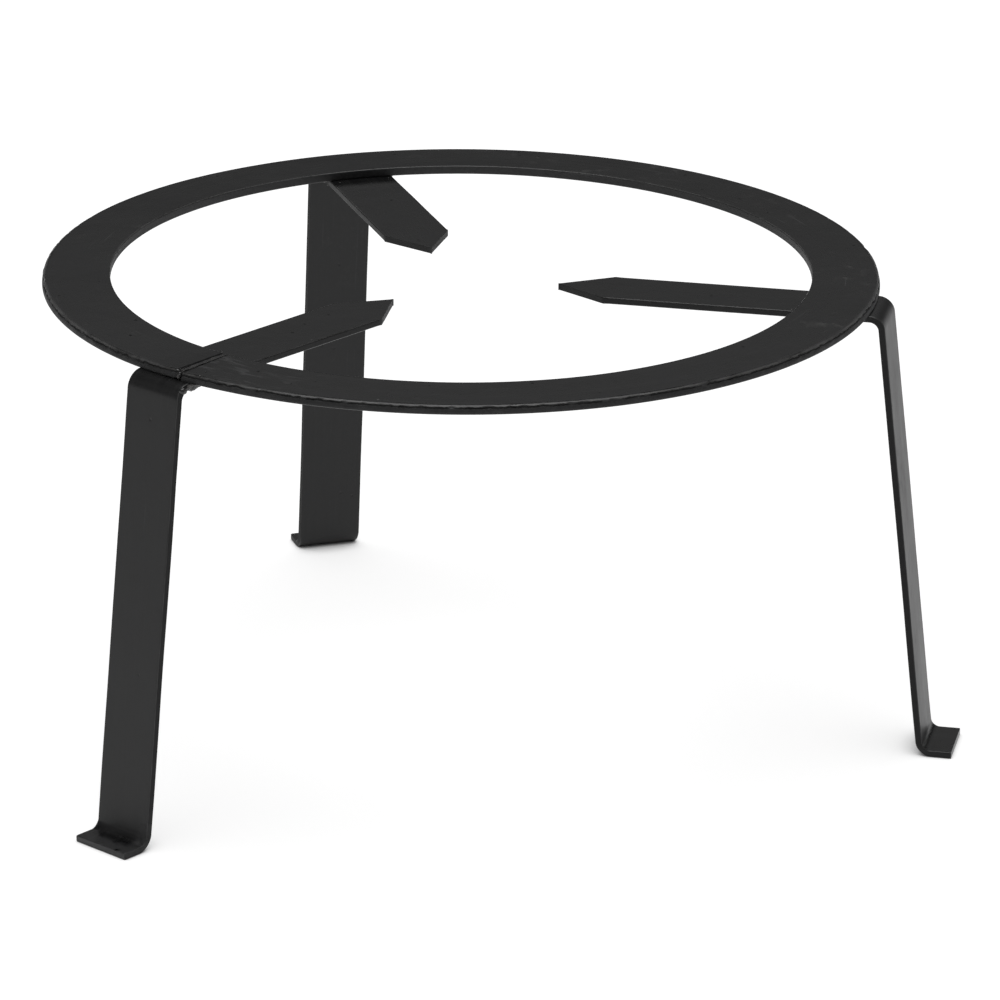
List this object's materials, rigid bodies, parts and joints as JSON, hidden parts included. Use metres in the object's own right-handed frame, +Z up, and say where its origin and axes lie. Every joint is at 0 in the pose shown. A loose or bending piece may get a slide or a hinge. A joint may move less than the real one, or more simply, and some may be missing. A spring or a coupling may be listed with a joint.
{
  "type": "propane burner stand",
  "caption": "Round flat-bar pot ring on splayed flat-bar legs with pointed fingers and turned-out feet, welded, for standing a pot over a gas burner.",
  "frame": {"origin": "where the ring's axis meets the floor that the feet stand on", "axes": "+Z up along the ring's axis; +Y towards the back leg; +X to the right, seen from the front between the two front legs"},
  "size_m": [0.4082, 0.412, 0.208],
  "materials": {
    "ring_steel": "satin black coating on rolled steel, worn lighter along its edges",
    "leg_steel": "satin black coating on rolled steel",
    "weld_metal": "black-coated rippled weld, glossier on its crests"
  },
  "bodies": {
    "root": {"ring": "ring_steel", "ring_seam_weld": "weld_metal", "leg_front_left": "leg_steel", "leg_back": "leg_steel", "leg_front_right": "leg_steel", "weld_front_left_left": "weld_metal", "weld_front_left_right": "weld_metal", "weld_back_left": "weld_metal", "weld_back_right": "weld_metal", "weld_front_right_left": "weld_metal", "weld_front_right_right": "weld_metal"}
  },
  "joints": []
}
